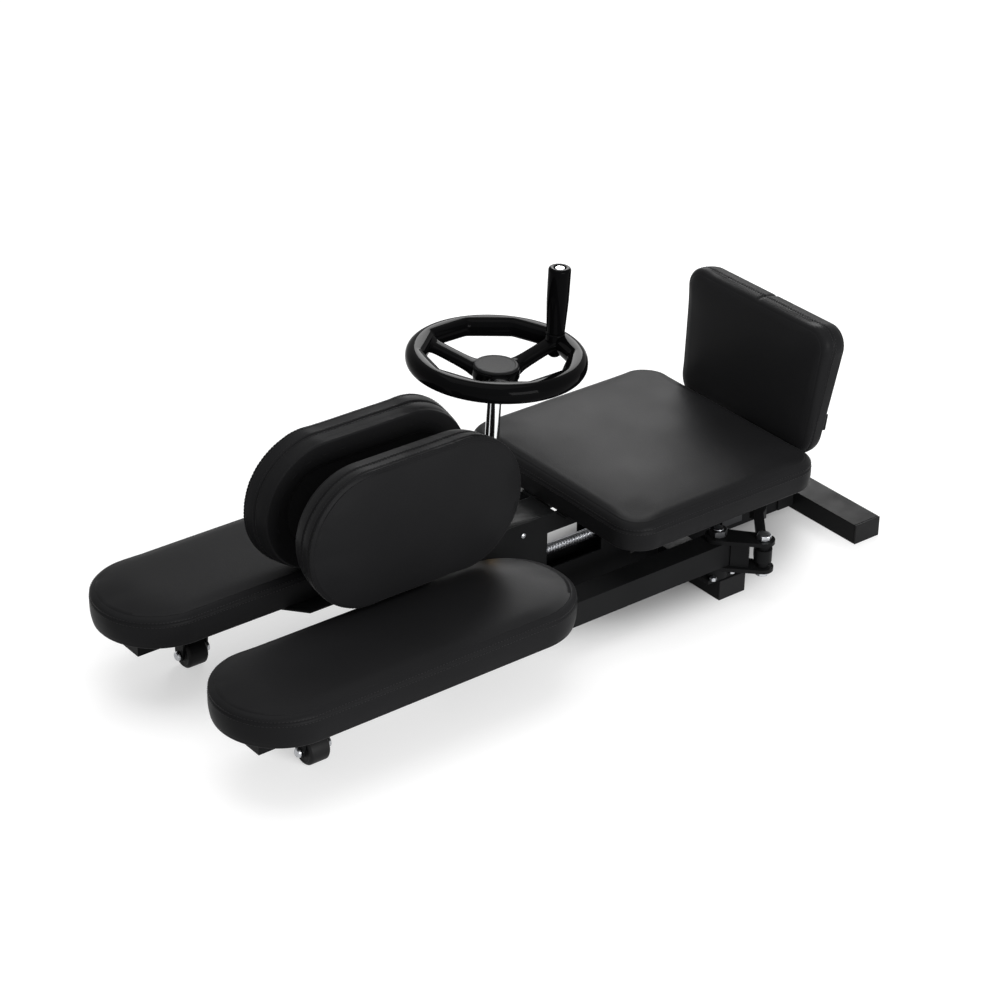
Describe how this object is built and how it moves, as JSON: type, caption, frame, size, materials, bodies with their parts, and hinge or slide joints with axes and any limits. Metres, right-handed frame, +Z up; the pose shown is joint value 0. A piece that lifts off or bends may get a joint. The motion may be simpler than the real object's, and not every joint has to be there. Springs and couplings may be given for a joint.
{
  "type": "leg stretching machine",
  "caption": "Low padded seat with backrest and handwheel whose screw linkage swings a pair of padded leg arms outward on floor rollers.",
  "frame": {"origin": "centre of the machine's outline on the floor", "axes": "+X the way the sitter faces, +Y the sitter's left, +Z up"},
  "size_m": [1.164, 0.48, 0.5179],
  "materials": {
    "black_steel": "satin black powder coat",
    "zinc_steel": "bright zinc plate",
    "chrome_steel": "bright chrome",
    "black_vinyl": "smooth satin synthetic leather",
    "backed_board": "plywood behind a black non-woven backing cloth",
    "gloss_black": "polished black",
    "machined_steel": "machined",
    "bronze": "machined",
    "black_nylon": "moulded matt",
    "black_cap": "moulded matt"
  },
  "bodies": {
    "base": {"rear_foot": "black_steel", "middle_foot": "black_steel", "rear_foot_cap_left": "black_cap", "rear_foot_cap_right": "black_cap", "middle_foot_cap_left": "black_cap", "middle_foot_cap_right": "black_cap", "rear_spine": "black_steel", "front_spine": "black_steel", "left_side_plate": "black_steel", "right_side_plate": "black_steel", "front_cover": "black_steel", "housing_screw_left": "zinc_steel", "housing_screw_right": "zinc_steel", "front_screw_bearing": "machined_steel", "rear_screw_bearing": "machined_steel", "shaft_bushing": "bronze", "seat_board": "backed_board", "seat_pad": "black_vinyl", "backrest_board": "backed_board", "backrest_pad": "black_vinyl", "back_crossbar": "black_steel", "back_post": "black_steel", "left_pivot_pin": "black_steel", "left_pivot_nut": "zinc_steel", "right_pivot_pin": "black_steel", "right_pivot_nut": "zinc_steel"},
    "left_leg": {"left_leg_arm": "black_steel", "left_crank_bolt": "zinc_steel", "left_leg_board": "backed_board", "left_leg_pad": "black_vinyl", "left_upright_bracket": "black_steel", "left_upright_board": "backed_board", "left_upright_pad": "black_vinyl", "left_roller_fork": "black_steel", "left_roller_axle": "zinc_steel"},
    "right_leg": {"right_leg_arm": "black_steel", "right_crank_bolt": "zinc_steel", "right_leg_board": "backed_board", "right_leg_pad": "black_vinyl", "right_upright_bracket": "black_steel", "right_upright_board": "backed_board", "right_upright_pad": "black_vinyl", "right_roller_fork": "black_steel", "right_roller_axle": "zinc_steel"},
    "left_roller_wheel": {"left_roller": "black_nylon"},
    "right_roller_wheel": {"right_roller": "black_nylon"},
    "left_link": {"left_pull_link": "black_steel"},
    "right_link": {"right_pull_link": "black_steel"},
    "carriage_block": {"carriage": "machined_steel"},
    "screw": {"lead_screw": "zinc_steel", "screw_bevel_gear": "machined_steel"},
    "steering": {"steering_shaft": "chrome_steel", "handwheel": "gloss_black", "hub_cap": "gloss_black", "shaft_bevel_gear": "machined_steel", "grip_spindle": "chrome_steel"},
    "handle": {"handle_grip": "gloss_black"}
  },
  "joints": [
    {"name": "left_leg_swing", "type": "hinge", "parent": "base", "child": "left_leg", "pos_m": [-0.266, 0.147, 0.076], "axis": [0, 0, 1], "range_deg": [0, 75]},
    {"name": "right_leg_swing", "type": "hinge", "parent": "base", "child": "right_leg", "pos_m": [-0.266, -0.147, 0.076], "axis": [0, 0, -1], "range_deg": [0, 75]},
    {"name": "carriage_slide", "type": "slide", "parent": "base", "child": "carriage_block", "axis": [-1, 0, 0], "range_m": [0, 0.0663]},
    {"name": "left_link_turn", "type": "hinge", "parent": "left_leg", "child": "left_link", "pos_m": [-0.31101, 0.19527, 0.076], "axis": [0, 0, -1], "range_deg": [0, 106]},
    {"name": "right_link_turn", "type": "hinge", "parent": "right_leg", "child": "right_link", "pos_m": [-0.31101, -0.19527, 0.076], "axis": [0, 0, 1], "range_deg": [0, 106]},
    {"name": "screw_turn", "type": "hinge", "parent": "base", "child": "screw", "pos_m": [0, 0, 0.076], "axis": [-1, 0, 0], "range_deg": [0, 2384]},
    {"name": "handwheel_turn", "type": "hinge", "parent": "base", "child": "steering", "pos_m": [0.0275, 0, 0.41], "axis": [0.0489, 0, -0.9988], "range_deg": [0, 2384]},
    {"name": "handle_spin", "type": "hinge", "parent": "steering", "child": "handle", "pos_m": [-0.07438, 0, 0.40502], "axis": [-0.0489, 0, 0.9988], "continuous": true},
    {"name": "left_roller_spin", "type": "hinge", "parent": "left_leg", "child": "left_roller_wheel", "pos_m": [0.441, 0.147, 0.021], "axis": [1, 0, 0], "continuous": true},
    {"name": "right_roller_spin", "type": "hinge", "parent": "right_leg", "child": "right_roller_wheel", "pos_m": [0.441, -0.147, 0.021], "axis": [1, 0, 0], "continuous": true}
  ],
  "couplings": [
    {"joint": "right_leg_swing", "follows": "left_leg_swing", "ratio": 1},
    {"joint": "carriage_slide", "follows": "left_leg_swing", "m_per_rad": 0.050573},
    {"joint": "left_link_turn", "follows": "left_leg_swing", "ratio": 1.4127},
    {"joint": "right_link_turn", "follows": "left_leg_swing", "ratio": 1.4127},
    {"joint": "screw_turn", "follows": "left_leg_swing", "ratio": 31.776},
    {"joint": "handwheel_turn", "follows": "left_leg_swing", "ratio": 31.776}
  ]
}
